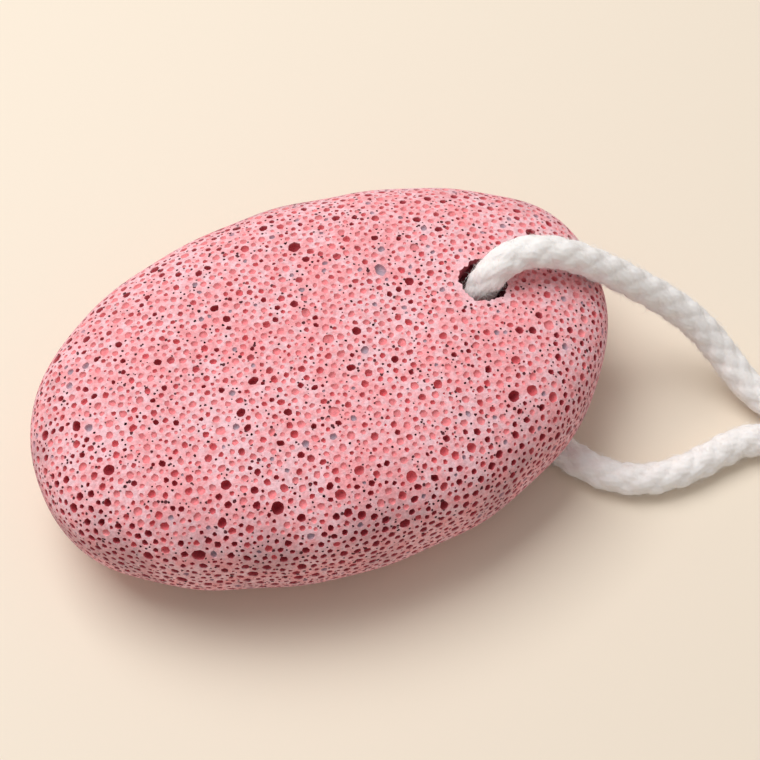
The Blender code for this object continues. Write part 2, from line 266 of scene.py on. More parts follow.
# Thin three-sided tubes along many paths at once: a ring at every place but the last, narrowing evenly to
# fibreTip of the radius, then a point.
def fibreTubes(name, path, radius, material):
    count, steps = path.shape[:2]
    ahead = np.gradient(path, axis=1)
    ahead /= np.linalg.norm(ahead, axis=2, keepdims=True)
    side = np.cross(ahead, [0.27, 0.53, 0.8])
    side /= np.linalg.norm(side, axis=2, keepdims=True)
    over = np.cross(ahead, side)
    a = 2 * math.pi * np.arange(3) / 3
    narrow = radius * np.linspace(1, cordLook["fibreTip"], steps - 1)[None, :, None, None]
    c, s = np.cos(a)[:, None], np.sin(a)[:, None]
    body = path[:, :-1, None] + narrow * (c * side[:, :-1, None] + s * over[:, :-1, None])
    per = 3 * (steps - 1) + 1
    points = np.concatenate([body.reshape(count, -1, 3), path[:, -1:]], 1).reshape(-1, 3)
    k = np.arange(3)
    nextK = (k + 1) % 3
    faces = [np.stack([3 * r + k, 3 * r + nextK, 3 * r + 3 + nextK], -1) for r in range(steps - 2)]
    faces += [np.stack([3 * r + k, 3 * r + 3 + nextK, 3 * r + 3 + k], -1) for r in range(steps - 2)]
    faces.append(np.stack([3 * (steps - 2) + k, 3 * (steps - 2) + nextK, np.full(3, per - 1)], -1))
    faces.append(np.array([[2, 1, 0]]))
    one = np.vstack(faces)
    every = (one[None] + per * np.arange(count)[:, None, None]).reshape(-1, 3)
    return meshObject(name, points, every.tolist(), material)


# Bleached cotton: dull, with sheen for the soft glow of its edges and light that passes a little way in.
cordMaterial, tree, shader = makeMaterial(
    "bleached cotton cord, braided", Roughness=0.95, Specular_IOR_Level=0.25, Sheen_Weight=0.1,
    Subsurface_Weight=0.4, Subsurface_Radius=(1.2 * mm, 1.1 * mm, 1.0 * mm), Subsurface_Scale=1.0,
)
place = addNode(tree, "ShaderNodeTexCoord").outputs["Object"]
# Yarn hairs: a fine noise of about 0.25 mm.
hairs = addNode(tree, "ShaderNodeTexNoise", {}, {"Vector": place, "Scale": 1 / (0.5 * mm), "Detail": 4.0})
shade = mixed(tree, hairs.outputs["Fac"], paint("#F3EBE7"), paint("#FFFBF9"))
tree.links.new(shade, shader.inputs["Base Color"])
bump = addNode(tree, "ShaderNodeBump", {}, {
    "Height": hairs.outputs["Fac"], "Distance": 0.06 * mm, "Strength": 0.3})
tree.links.new(bump.outputs["Normal"], shader.inputs["Normal"])

# Single cotton hairs, too thin for any light to sink in: the fuzz and the frayed ends.
hairMaterial = makeMaterial(
    "loose cotton hair", Roughness=1.0, Specular_IOR_Level=0.2, Base_Color=paint("#FFFCFA"))[0]

radius = cordLook["diameter"] / 2
upperCord, upperLine, upperWalked, upperRings = braidedTube(
    "upper_strand", upperRoute, cordLook, cordMaterial, radius, 0.4)
lowerCord, lowerLine, lowerWalked, lowerRings = braidedTube(
    "lower_strand", lowerRoute, cordLook, cordMaterial, radius, 2.1)
upperFuzz = looseFibres("upper_fuzz", upperRings, upperLine, cordLook, hairMaterial, 5, cordLook["fibres"])
lowerFuzz = looseFibres("lower_fuzz", lowerRings, lowerLine, cordLook, hairMaterial, 6, cordLook["fibres"])
print("cords made", upperWalked[-1], lowerWalked[-1])

# knot: both strands tied together in an overhand knot, with two frayed tails
knotLook = dict(
    start=(70.7, -33.0, 5.3),
    heading=math.radians(-38.0),
    strandRadius=2.2 * mm,
    halfApart=1.7,
    turnAngles=(200, 245, 290, 335, 380, 425, 470, 515),
    turnStart=9.3,
    turnStep=1.05,
    turnWidth=3.85,
    turnHeight=3.05,
    fibres=2200,
    fibresPerTail=800,
    tuftLength=(1.5 * mm, 4.2 * mm),
    tuftRadius=0.045 * mm,
    tuftRoot=0.6 * mm,
    tuftWidth=1.9 * mm,
    tuftFan=0.45,
    tuftSag=0.5 * mm,
    tuftTableGap=0.05 * mm,
)


# A route given in the knot's own directions (ahead, left, up from its start), turned into the row frame.
def knotRoute(local):
    c, s = math.cos(knotLook["heading"]), math.sin(knotLook["heading"])
    x0, y0, z0 = knotLook["start"]
    return [(x0 + c * x - s * y, y0 + s * x + c * y, z0 + z) for x, y, z in local]


# Each strand goes through the knot's middle, turns round its far half once, as an oval screw, and leaves
# through the turn. The side is 1 for one strand and -1 for the other; lengths are in millimetres.
def strandThroughKnot(side, tail):
    shift = side * knotLook["halfApart"]
    turns = [
        (knotLook["turnStart"] - knotLook["turnStep"] * k + shift,
         knotLook["turnWidth"] * math.sin(a), knotLook["turnHeight"] * math.cos(a))
        for k, a in enumerate(np.radians(knotLook["turnAngles"]))
    ]
    return knotRoute([
        (1.2, 2.1 * side, -0.8), (4.0, 1.3 * side, 0.2), (7.0, -0.6, 0.9),
        (9.6 + shift * 0.5, -0.9, -1.2), *turns, (2.6 + shift, 0.8, -1.6), (5.5, 0.6 * shift, 0.3),
        *tail,
    ])


# A frayed end: hairs from random places of the strand's cut that run ahead, fan out by t squared and by
# how far from the middle they start, and sag by t squared.
def frayedEnd(name, line, look, material, seed):
    rng = np.random.default_rng(seed)
    count = look["fibresPerTail"]
    ahead = line[-1] - line[-4]
    ahead /= np.linalg.norm(ahead)
    spread = rng.normal(0, 1, (count, 3))
    spread -= (spread @ ahead)[:, None] * ahead
    spread /= np.linalg.norm(spread, axis=1, keepdims=True)
    reach = np.sqrt(rng.random(count))[:, None]
    root = line[-1] - look["tuftRoot"] * ahead + spread * reach * look["tuftWidth"]
    length = rng.uniform(*look["tuftLength"], count)[:, None]
    t = np.linspace(0, 1, 6)[None, :, None]
    fan = look["tuftFan"] * spread[:, None] * reach[:, None] * t**2
    path = root[:, None] + length[:, None] * (ahead * t + fan)
    path[..., 2] = np.maximum(path[..., 2] - look["tuftSag"] * t[..., 0] ** 2, look["tuftTableGap"])
    return fibreTubes(name, path, look["tuftRadius"], material)


knotTails = (  # millimetres
    ((9.5, 1.2, 0.2), (13.0, 2.6, -0.9), (17.0, 5.0, -2.4), (20.5, 7.3, -3.0)),
    ((9.5, -1.2, -0.4), (13.0, -2.6, -1.6), (16.5, -4.3, -2.8), (19.0, -5.6, -3.0)),
)
knotPieces = []
for number, (side, tail) in enumerate(zip((1, -1), knotTails)):
    strand, line, _, rings = braidedTube(
        f"knot_strand_{number + 1}", strandThroughKnot(side, tail), cordLook, cordMaterial,
        knotLook["strandRadius"], 1.0 + number)
    fuzz = looseFibres(
        f"knot_fuzz_{number + 1}", rings, line, cordLook, hairMaterial, 8 + number, knotLook["fibres"])
    tuft = frayedEnd(f"knot_tuft_{number + 1}", line, knotLook, hairMaterial, 20 + number)
    knotPieces += [strand, fuzz, tuft]
print("knot made")

# stone: a hand-shaped pebble of foamed glass; its pores of a third of a millimetre and more are modelled
# bubbles cut open
halfLength = 48.0 * mm
halfWidth = 31.4 * mm
halfHeight = 14.15 * mm
squareness = 2.43
crownPower = 3.2
bellyPower = 2.78
eggShape = -0.176
planWaves = ((3, -0.046, 0.011), (4, 0.028, 0.010))
crownX = 2.2 * mm
crownY = 0.2 * mm
bellyCut = 0.9 * mm
lumpSize = 0.15 * mm
liftHeight = 6.2 * mm
liftFrom = 2.0 * mm
liftTo = 25.0 * mm
planSamples = 1440
profileSamples = 4000
holeX = 27.7 * mm
holeY = 0.3 * mm
holeRadius = 4.15 * mm
mouthRadius = 5.0 * mm
poreSeed = 31
poreCount = 200
poreSmallest = 0.95 * mm
poreLargest = 1.45 * mm
poreGap = 0.45 * mm
poreLean = 2.2
poreTries = 40
bellyClear = 1.2 * mm
chartFrom = 0.02
chartTo = 3.4
farAway = 10.0
standoutPores = (  # millimetres
    (-30.7, -23.5, 1.35), (-17.2, -23.1, 1.25), (-23.1, -17.0, 1.05), (-40.7, 2.2, 1.15),
    (2.3, 18.6, 1.35), (13.1, 8.4, 1.45), (-4.0, -22.7, 1.0), (-32.3, 13.1, 0.95),
    (23.3, -20.2, 1.2), (26.2, -15.0, 0.95), (29.4, -21.8, 1.05), (-37.5, -20.3, 1.05),
    (20.0, 10.6, 0.95), (-25.7, -21.8, 1.0), (-8.0, -24.8, 1.1), (6.8, -31.0, 1.05),
)
stoneLook = dict(
    seamShare=0.78,
    seamSides=300,
    # Seam waves: how many round the stone, how far in and out, where they start.
    seamWaves=((23, 0.012, 0), (41, 0.008, 1)),
    # The hole's mouths and wall, with the painted shade that darkens the wall with depth and in its dents.
    mouthSides=64,
    mouthRagged=0.32 * mm,
    topMouth=4.0 * mm,
    lowMouth=4.6 * mm,
    mouthFlare=0.9 * mm,
    wallRings=36,
    wallGrain=0.03 * mm,
    wallShadeDepth=2.5 * mm,
    dents=220,
    dentSpan=22 * mm,
    dentRadii=(0.5 * mm, 1.3 * mm),
    dentDepth=0.7,
    holeShadeStrength=0.6,
    newtonSteps=8,
    # Slopes are taken over chartStep, areas in rows and columns.
    chartStep=0.02 * mm,
    rows=420,
    columns=360,
    # Walls that stay between pores and beside the seam, and how places are looked up.
    wall=0.11 * mm,
    seamWall=0.1 * mm,
    nearSeam=0.16,
    holeKeepOff=4.8 * mm,
    boxSize=2.5 * mm,
    batch=300,
    # Rows: how many, smallest and largest radius in mm, how strongly small ones win, sides, inner rings.
    sizes=((2050, 0.56, 0.84, 1.4, 7, 1), (2550, 0.34, 0.56, 1.0, 6, 1), (850, 0.22, 0.34, 1.0, 5, 1),
           (1650, 0.16, 0.34, 1.0, 5, 0)),
    largest=(14, 2),
    # By the number of inner rings, each ring's share of the rim, of the depth and of the floor's colour.
    bowls=((), ((0.84, 0.68, 0.6),), ((0.96, 0.5, 1 / 3), (0.66, 0.88, 2 / 3))),
    underShare=0.07,
    sideCrowding=0.9,
    tries=90,
    standoutShrink=0.9,
    scatterShrink=0.74,
    # How uneven the rims, bowls and colours are.
    rimTurn=0.5,
    rimOval=0.13,
    rimUneven=(0.82, 1.0),
    ringUneven=(0.94, 1.06),
    poleShift=0.15,
    depthUneven=(0.85, 1.2),
    floorUneven=(0.85, 1.12),
    wallUneven=(0.9, 1.1),
    # Tone of a pore: coral below redFrom, red below maroonFrom, maroon above it. Painted shade: the largest
    # pores and those on the stone's falling sides are pushed to darker tones, and many of the smallest
    # pores are painted nearly black.
    redFrom=0.68,
    maroonFrom=0.95,
    largestShade=0.25,
    sideShade=1.25,
    sideLean=0.75,
    greyShare=0.04,
    blackShare=0.3,
)


# The plan's reach from the crown's centre against the direction: a superellipse times slow waves.
def planOutline():
    angle = np.linspace(-math.pi, math.pi, planSamples + 1)
    c, s = np.cos(angle), np.sin(angle)
    size = (np.abs(c) ** squareness + np.abs(s) ** squareness) ** (-1 / squareness)
    size = size * (1 + sum(a * np.cos(n * angle) + b * np.sin(n * angle) for n, a, b in planWaves))
    x, y = halfLength * size * c, halfWidth * size * s * (1 + eggShape * size * c)
    turn = np.arctan2(y, x)
    order = np.argsort(turn)
    return turn[order], np.hypot(x, y)[order]


# The section from crown to belly: share of the reach and height, against the logarithm of a radius that
# grows as the distance along the section over the distance from the axis.
def stoneProfile():
    q = np.linspace(math.pi / 2, -math.pi / 2, profileSamples + 1)[1:-1]
    power = np.where(q > 0, crownPower, bellyPower)
    size = (np.cos(q) ** power + np.abs(np.sin(q)) ** power) ** (-1 / power)
    share, height = np.cos(q) * size, np.sin(q) * size
    mean = math.sqrt(halfLength * halfWidth)
    step = np.hypot(mean * np.diff(share), halfHeight * np.diff(height))
    logRadius = np.cumsum(step / (mean * (share[1:] + share[:-1]) / 2))
    return math.log(share[0]) + np.concatenate([[0.0], logRadius]), share, height


outlineTurn, outlineReach = planOutline()
chartLog, profileShare, profileHeight = stoneProfile()
bellyHalf = profileHeight < 0


# The plan's reach in any direction, between the outline's samples.
def reachAt(turn):
    return np.interp(turn, outlineTurn, outlineReach, period=2 * math.pi)


# The skin at a share of the reach and a height: slow lumps all over, a flat rubbed belly, and the hole
# end's underside lifted by a smooth step along the stone, joined by the sixth root of both sixth powers.
def shapedPoint(turn, share, height):
    reach = reachAt(turn)
    x = crownX + share * reach * np.cos(turn)
    y = crownY + share * reach * np.sin(turn)
    z = halfHeight * (1 + height) - bellyCut * np.maximum(0, -height)
    lump = np.sin(210 * x + 1.3) * np.sin(240 * y + 0.4) + 0.6 * np.sin(390 * x - 170 * y + 150 * z + 2.0)
    lump = lump * lumpSize
    x, y, z = x * (1 + lump / halfLength), y * (1 + lump / halfWidth), z + lump * height
    ramp = np.clip((x - liftFrom) / (liftTo - liftFrom), 0, 1)
    lift = liftHeight * ramp * ramp * (3 - 2 * ramp)
    return np.stack([x, y, (np.maximum(z, 0) ** 6 + lift**6) ** (1 / 6)], -1)


# The skin's point at (u, v) of the flat chart, which is the plan view near the crown.
def stonePoint(u, v):
    turn = np.arctan2(v, u)
    logRadius = np.log(np.maximum(np.hypot(u, v) / reachAt(turn), math.exp(chartLog[0])))
    share = np.interp(logRadius, chartLog, profileShare)
    return shapedPoint(turn, share, np.interp(logRadius, chartLog, profileHeight))


# The underside's point below (u, v) of the plan.
def underPoint(u, v):
    turn = np.arctan2(v, u)
    share = np.hypot(u, v) / reachAt(turn)
    height = np.interp(share, profileShare[bellyHalf][::-1], profileHeight[bellyHalf][::-1])
    return shapedPoint(turn, share, height)


# The largest pores, as the CAD solid has them: the standouts, then a seeded scatter over the skin.
def scatteredPores():
    rng = np.random.default_rng(poreSeed)
    fineTurn = np.linspace(-math.pi, math.pi, 361)[:-1]
    fineLog = np.linspace(math.log(chartFrom), math.log(chartTo), 400)
    turns, logs = np.meshgrid(fineTurn, fineLog)
    u = np.exp(logs) * reachAt(turns) * np.cos(turns)
    v = np.exp(logs) * reachAt(turns) * np.sin(turns)
    corners = stonePoint(u, v)
    area = np.linalg.norm(
        np.cross(np.roll(corners, -1, 1)[:-1] - corners[:-1], corners[1:] - corners[:-1]), axis=-1
    ).ravel()
    places, radii, points = [], [], []
    for x, y, r in standoutPores:
        near = np.argmin(np.hypot(corners[..., 0] - x * mm, corners[..., 1] - y * mm)
                         + farAway * (corners[..., 2] < halfHeight))
        places.append((u.ravel()[near], v.ravel()[near]))
        radii.append(r * mm)
        points.append(corners.reshape(-1, 3)[near])
    spread = rng.random(poreCount) ** poreLean
    wanted = np.sort(poreSmallest + (poreLargest - poreSmallest) * spread)[::-1]
    cells = rng.choice(area.size, poreTries * poreCount, p=area / area.sum())
    tried = 0
    for r in wanted[: poreCount - len(radii)]:
        while True:
            cell = cells[tried]
            tried += 1
            point = corners[:-1].reshape(-1, 3)[cell]
            offHole = math.hypot(point[0] - holeX, point[1] - holeY) > mouthRadius + r + poreGap
            offBelly = point[2] > bellyClear
            others = np.linalg.norm(np.array(points) - point, axis=1)
            if offHole and offBelly and (others > np.array(radii) + r + poreGap).all():
                break
        places.append((u[:-1].ravel()[cell], v[:-1].ravel()[cell]))
        radii.append(r)
        points.append(point)
    return np.array(places), np.array(radii)


# Where a wavy seam parts the upper chart from the underside's plan, in both charts, and eight points on
# each of its stretches to measure distances to.
seamTurn = -math.pi + 2 * math.pi * np.arange(stoneLook["seamSides"]) / stoneLook["seamSides"]
seamShare = stoneLook["seamShare"] + sum(
    size * np.sin(waves * seamTurn + start) for waves, size, start in stoneLook["seamWaves"])
seamLog = np.interp(-seamShare, -profileShare[bellyHalf], chartLog[bellyHalf])
seamWay = np.stack([np.cos(seamTurn), np.sin(seamTurn)], -1)
seamPlan = (seamShare * reachAt(seamTurn))[:, None] * seamWay
seamChart = (np.exp(seamLog) * reachAt(seamTurn))[:, None] * seamWay
seamPoints = underPoint(*seamPlan.T)
seamStep = np.roll(seamPoints, -1, axis=0) - seamPoints
seamFine = np.concatenate([seamPoints + seamStep * share for share in np.linspace(0, 1, 9)[:-1]])


# Random places of one chart over the skin: cells drawn by their area plus sideCrowding times what of it
# the plan doesn't show, then a place in the cell. The whole area is given back too.
def evenPlaces(pointAt, lowLog, highLogAt, count, rng):
    rows, columns = stoneLook["rows"], stoneLook["columns"]
    turns = np.linspace(-math.pi, math.pi, columns + 1)
    share = np.linspace(0, 1, rows)[:, None]
    logs = lowLog + (highLogAt(turns)[None] - lowLog) * share
    radius = np.exp(logs) * reachAt(turns)[None]
    corners = pointAt(radius * np.cos(turns), radius * np.sin(turns))
    facing = np.cross(corners[:-1, 1:] - corners[:-1, :-1], corners[1:, :-1] - corners[:-1, :-1])
    area = np.linalg.norm(facing, axis=-1)
    crowding = area + stoneLook["sideCrowding"] * (area - np.abs(facing[..., 2]))
    cell = rng.choice(area.size, count, p=(crowding / crowding.sum()).ravel())
    row, column = np.unravel_index(cell, area.shape)
    column = column + rng.random(count)
    row = row + rng.random(count)
    turn = -math.pi + 2 * math.pi * column / columns
    log = lowLog + (highLogAt(turn) - lowLog) * row / (rows - 1)
    radius = np.exp(log) * reachAt(turn)
    return np.stack([radius * np.cos(turn), radius * np.sin(turn)], -1), area.sum()


# How far places near the edge of a chart are from the seam: the least distance to its fine points. The
# other places count as far away.
def seamDistance(spots, candidates, highLogAt):
    turn = np.arctan2(spots[:, 1], spots[:, 0])
    near = highLogAt(turn) - np.log(np.hypot(*spots.T) / reachAt(turn)) < stoneLook["nearSeam"]
    apart = np.full(len(spots), farAway)
    apart[near] = np.concatenate([
        np.linalg.norm(part[:, None] - seamFine[None], axis=-1).min(axis=1)
        for part in np.array_split(candidates[near], max(1, near.sum() // stoneLook["batch"]))
    ])
    return apart


# Scatters each row's pores from the largest down: each takes the first of its random places whose distance
# to every earlier pore, to the seam and to the hole's axis leaves a wall. A box grid finds the neighbours.
def packPores(places, radii, pointAt, highLogAt, sizes, seed):
    rng = np.random.default_rng(seed)
    cell, wall = stoneLook["boxSize"], stoneLook["wall"]
    shelves = {}
    around = [(i, j, k) for i in (-1, 0, 1) for j in (-1, 0, 1) for k in (-1, 0, 1)]

    # Whether a pore of radius r keeps the wall to every pore in the boxes around its own.
    def isFree(x, y, z, i, j, k, r):
        for di, dj, dk in around:
            for ox, oy, oz, other in shelves.get((i + di, j + dj, k + dk), ()):
                if (ox - x) ** 2 + (oy - y) ** 2 + (oz - z) ** 2 < (other + r + wall) ** 2:
                    return False
        return True

    for (x, y, z), r in zip(pointAt(*places.T).tolist(), radii.tolist()):
        shelves.setdefault(tuple(math.floor(w / cell) for w in (x, y, z)), []).append((x, y, z, r))
    chosen, reach, kinds = places.tolist(), radii.tolist(), [0] * len(radii)
    for kind, (wanted, small, large, lean, _, _) in enumerate(sizes):
        size = np.sort(small + (large - small) * rng.random(wanted) ** lean)[::-1] * mm
        spots, _ = evenPlaces(pointAt, lowLog, highLogAt, wanted * stoneLook["tries"], rng)
        points = pointAt(*spots.T)
        away = np.hypot(points[:, 0] - holeX, points[:, 1] - holeY) - stoneLook["holeKeepOff"]
        away = np.minimum(away, seamDistance(spots, points, highLogAt) - stoneLook["seamWall"])
        keep = away > small * mm
        rows = zip(spots[keep].tolist(), points[keep].tolist(), away[keep].tolist(),
                   np.floor(points[keep] / cell).astype(int).tolist())
        left = iter(rows)
        for r in size.tolist():
            for _ in range(stoneLook["tries"]):
                row = next(left, None)
                if row is None:
                    break
                spot, (x, y, z), room, key = row
                if room > r and isFree(x, y, z, *key, r):
                    shelves.setdefault(tuple(key), []).append((x, y, z, r))
                    chosen.append(spot)
                    reach.append(r)
                    kinds.append(kind + 1)
                    break
    return np.array(chosen), np.array(reach), np.array(kinds)


# The upper chart's edge at the seam, as a logarithm, between the seam's points.
def upperHigh(turn):
    return np.interp(turn, seamTurn, seamLog, period=2 * math.pi)


# The same edge on the underside's plan.
def underHigh(turn):
    return np.log(np.interp(turn, seamTurn, seamShare, period=2 * math.pi))


# The solid's largest pores first, shown smaller, on the chart they lie in and clear of the seam.
lowLog = math.log(chartFrom)
bigPlaces, bigRadii = scatteredPores()
bigRadii = bigRadii * np.where(
    np.arange(len(bigRadii)) < len(standoutPores), stoneLook["standoutShrink"], stoneLook["scatterShrink"])
turnBig = np.arctan2(bigPlaces[:, 1], bigPlaces[:, 0])
logBig = np.log(np.hypot(*bigPlaces.T) / reachAt(turnBig))
inside = logBig < upperHigh(turnBig)
clear = np.linalg.norm(
    stonePoint(*bigPlaces.T)[:, None] - seamFine[None], axis=-1
).min(axis=1) > bigRadii + stoneLook["seamWall"]
shareBig = np.interp(logBig, chartLog, profileShare)
planBig = (shareBig * reachAt(turnBig))[:, None] * np.stack([np.cos(turnBig), np.sin(turnBig)], -1)
upperPlaces, upperRadii, upperKinds = packPores(
    bigPlaces[inside & clear], bigRadii[inside & clear], stonePoint, upperHigh, stoneLook["sizes"], 41)
underSizes = [(round(row[0] * stoneLook["underShare"]), *row[1:]) for row in stoneLook["sizes"]]
underPlaces, underRadii, underKinds = packPores(
    planBig[~inside & clear], bigRadii[~inside & clear], underPoint, underHigh, underSizes, 42)
print("pores packed", np.bincount(upperKinds), np.bincount(underKinds), "share of the skin",
      math.pi * (upperRadii**2).sum() / evenPlaces(
          stonePoint, lowLog, upperHigh, 10, np.random.default_rng(1))[1])

# Pore colours, by how deep the bubble is cut open: the glass's own coral and red, with painted shade that
# darkens the floors of the deeper bubbles. Pale coral floors that light still reaches, clear red ones, dark
# maroon deep ones, a few with a grey-blue floor, and small ones painted nearly black for the shade inside
# them. Columns: floor, wall at the rim, depth over radius.
poreColoursAndShade = (
    (linear("#EF8990"), linear("#FAA4A6"), 0.55),
    (linear("#D65C66"), linear("#F28A8E"), 0.95),
    (linear("#9C2A38"), linear("#DA5E68"), 1.35),
    (linear("#A598A4"), linear("#E0A8B4"), 0.8),
    (linear("#2C070D"), linear("#5A1620"), 1.3),
)
floorColoursAndShade, wallTones, toneDepths = (np.array(column) for column in zip(*poreColoursAndShade))
rubbedSkin = linear("#FBA7AC")
mouthTone = linear("#C75A66")
# Painted shade deep in the hole.
holeShadeTone = linear("#7A2430")


# One chart's share of the stone: rims as uneven polygons inside each pore's circle, laid on the chart by
# the inverse of its slopes; bowls of rings drawn towards the pore's middle and sunk against the normal; and
# the skin between as a constrained triangulation.
def skinPatch(pointAt, places, radii, kinds, outer, outerPoints, hole, holePoints, seed):
    rng = np.random.default_rng(seed)
    step = stoneLook["chartStep"]
    centre = pointAt(*places.T)
    u, v = places.T
    du = (pointAt(u + step, v) - pointAt(u - step, v)) / (2 * step)
    dv = (pointAt(u, v + step) - pointAt(u, v - step)) / (2 * step)
    normal = np.cross(du, dv)
    normal /= np.linalg.norm(normal, axis=1, keepdims=True)
    outward = np.where((normal * (centre - [0, 0, halfHeight])).sum(axis=1, keepdims=True) < 0, -1, 1)
    e1 = du / np.linalg.norm(du, axis=1, keepdims=True)
    e2 = np.cross(normal, e1)
    # chart step of a tangent step: the two by two matrix of (du, dv) in (e1, e2), turned round
    a, b = (du * e1).sum(1), (dv * e1).sum(1)
    c, d = (du * e2).sum(1), (dv * e2).sum(1)
    det = a * d - b * c
    points, chart = [outerPoints, holePoints], [outer, hole]
    tint = [np.tile(rubbedSkin, (len(outer), 1)), np.tile(mouthTone, (len(hole), 1))]
    depthShare = [np.zeros(len(outer)), np.zeros(len(hole))]
    loopOf = [np.full(len(outer), -1), np.full(len(hole), -2)]
    inner, innerTint, innerDepth, bowls = [], [], [], []
    start = len(outer) + len(hole)
    innerStart = 0
    shapes = [stoneLook["largest"], *(row[4:] for row in stoneLook["sizes"])]
    for kind, (n, ringCount) in enumerate(shapes):
        own = np.flatnonzero(kinds == kind)
        m = len(own)
        r = radii[own]
        first = np.arange(n)[None] + rng.random((m, 1))
        angle = 2 * math.pi * (first + stoneLook["rimTurn"] * (rng.random((m, n)) - 0.5)) / n
        oval = rng.uniform(0, stoneLook["rimOval"], (m, 1))
        draw = 1 + oval * (np.cos(2 * (angle - math.pi * rng.random((m, 1)))) - 1)
        reach = r[:, None] * draw * rng.uniform(*stoneLook["rimUneven"], (m, n))
        along, across = reach * np.cos(angle), reach * np.sin(angle)
        stepU = (d[own, None] * along - b[own, None] * across) / det[own, None]
        stepV = (a[own, None] * across - c[own, None] * along) / det[own, None]
        rimChart = places[own][:, None] + np.stack([stepU, stepV], -1)
        rim = pointAt(rimChart[..., 0], rimChart[..., 1])
        chart.append(rimChart.reshape(-1, 2))
        points.append(rim.reshape(-1, 3))
        loopOf.append(np.repeat(own, n))
        # tone of each pore: deeper and darker where the stone's side falls away, lighter on top; the darker
        # tones there are painted shade for the less light that the sides get
        side = 1 - np.abs(normal[own, 2])
        chance = rng.random(m) + stoneLook["sideShade"] * side ** stoneLook["sideLean"]
        chance = chance + (stoneLook["largestShade"] if kind == 0 else 0.0)
        tone = np.where(chance < stoneLook["maroonFrom"], 1, 2)
        tone = np.where(chance < stoneLook["redFrom"], 0, tone)
        tone = np.where(rng.random(m) < stoneLook["greyShare"], 3, tone)
        tone = np.where((kind == 4) | ((kind == 3) & (rng.random(m) < stoneLook["blackShare"])), 4, tone)
        depth = r * toneDepths[tone] * rng.uniform(*stoneLook["depthUneven"], m)
        inward = -(normal * outward)[own]
        floors = floorColoursAndShade[tone] * rng.uniform(*stoneLook["floorUneven"], (m, 1))
        walls = wallTones[tone] * rng.uniform(*stoneLook["wallUneven"], (m, 1))
        tint.append(np.repeat(walls, n, axis=0))
        depthShare.append(np.zeros(m * n))
        middle = centre[own][:, None]
        for narrow, sink, share in stoneLook["bowls"][ringCount]:
            jitter = rng.uniform(*stoneLook["ringUneven"], (m, n, 1))
            sunk = inward[:, None] * (sink * depth)[:, None, None]
            ring = middle + (rim - middle) * narrow * jitter + sunk
            # painted shade: each ring's colour goes from the wall's towards the darker floor's as it sinks
            innerTint.append(np.repeat(walls + (floors - walls) * share, n, axis=0))
            innerDepth.append(np.full(m * n, sink))
            inner.append(ring.reshape(-1, 3))
        shift = rng.uniform(-stoneLook["poleShift"], stoneLook["poleShift"], m) * r
        inner.append(centre[own] + inward * depth[:, None] + e1[own] * shift[:, None])
        innerTint.append(floors)
        innerDepth.append(np.ones(m))
        k = np.arange(n)
        upperIndex = start + np.arange(m * n).reshape(m, n)
        for _ in range(ringCount):
            lowerIndex = -1 - (innerStart + np.arange(m * n).reshape(m, n))
            bowls.append(np.stack([upperIndex, np.roll(upperIndex, -1, 1), np.roll(lowerIndex, -1, 1)], -1))
            bowls.append(np.stack([upperIndex, np.roll(lowerIndex, -1, 1), lowerIndex], -1))
            upperIndex = lowerIndex
            innerStart += m * n
        poleIndex = -1 - (innerStart + np.arange(m))
        poleIndex = np.repeat(poleIndex[:, None], n, 1)
        bowls.append(np.stack([upperIndex, np.roll(upperIndex, -1, 1), poleIndex], -1))
        innerStart += m
        start += m * n
    chart, points = np.vstack(chart), np.vstack(points)
    loopOf = np.concatenate(loopOf)
    first = np.r_[0, np.flatnonzero(np.diff(loopOf)) + 1]
    last = np.r_[first[1:], len(loopOf)] - 1
    following = np.arange(len(loopOf)) + 1
    following[last] = first
    edges = np.stack([np.arange(len(loopOf)), following], -1)
    # In millimetres; every triangle of the hull is made, and loops that touch would add points.
    corners = [Vector(p) for p in chart / mm]
    made = delaunay_2d_cdt(corners, edges.tolist(), [], 0, 1e-7, False)
    if len(made[0]) != len(chart):
        raise RuntimeError(f"rims cross: {len(made[0]) - len(chart)} points more")
    triangles = np.array(made[2])
    # A triangle with all its corners on one loop lies inside that loop if they follow the loop's order.
    # Inside the outer loop it is skin and stays; inside a rim or the mouth it closes the opening and goes.
    loops = loopOf[triangles]
    same = (loops[:, 0] == loops[:, 1]) & (loops[:, 1] == loops[:, 2])
    turned = np.roll(triangles, -1, axis=1) > triangles
    ascending = turned.sum(axis=1) == 2
    keep = ~same | np.where(loops[:, 0] == -1, ascending, ~ascending)
    triangles = triangles[keep]
    inner = np.vstack(inner)
    bowls = np.concatenate([b.reshape(-1, 3) for b in bowls])
    bowls = np.where(bowls < 0, len(points) - 1 - bowls, bowls)
    colours = np.vstack(tint + innerTint)
    depths = np.concatenate(depthShare + innerDepth)
    rimEdges = edges[loopOf[edges[:, 0]] != -1]
    return np.vstack([points, inner]), np.vstack([triangles, bowls]), colours, depths, rimEdges


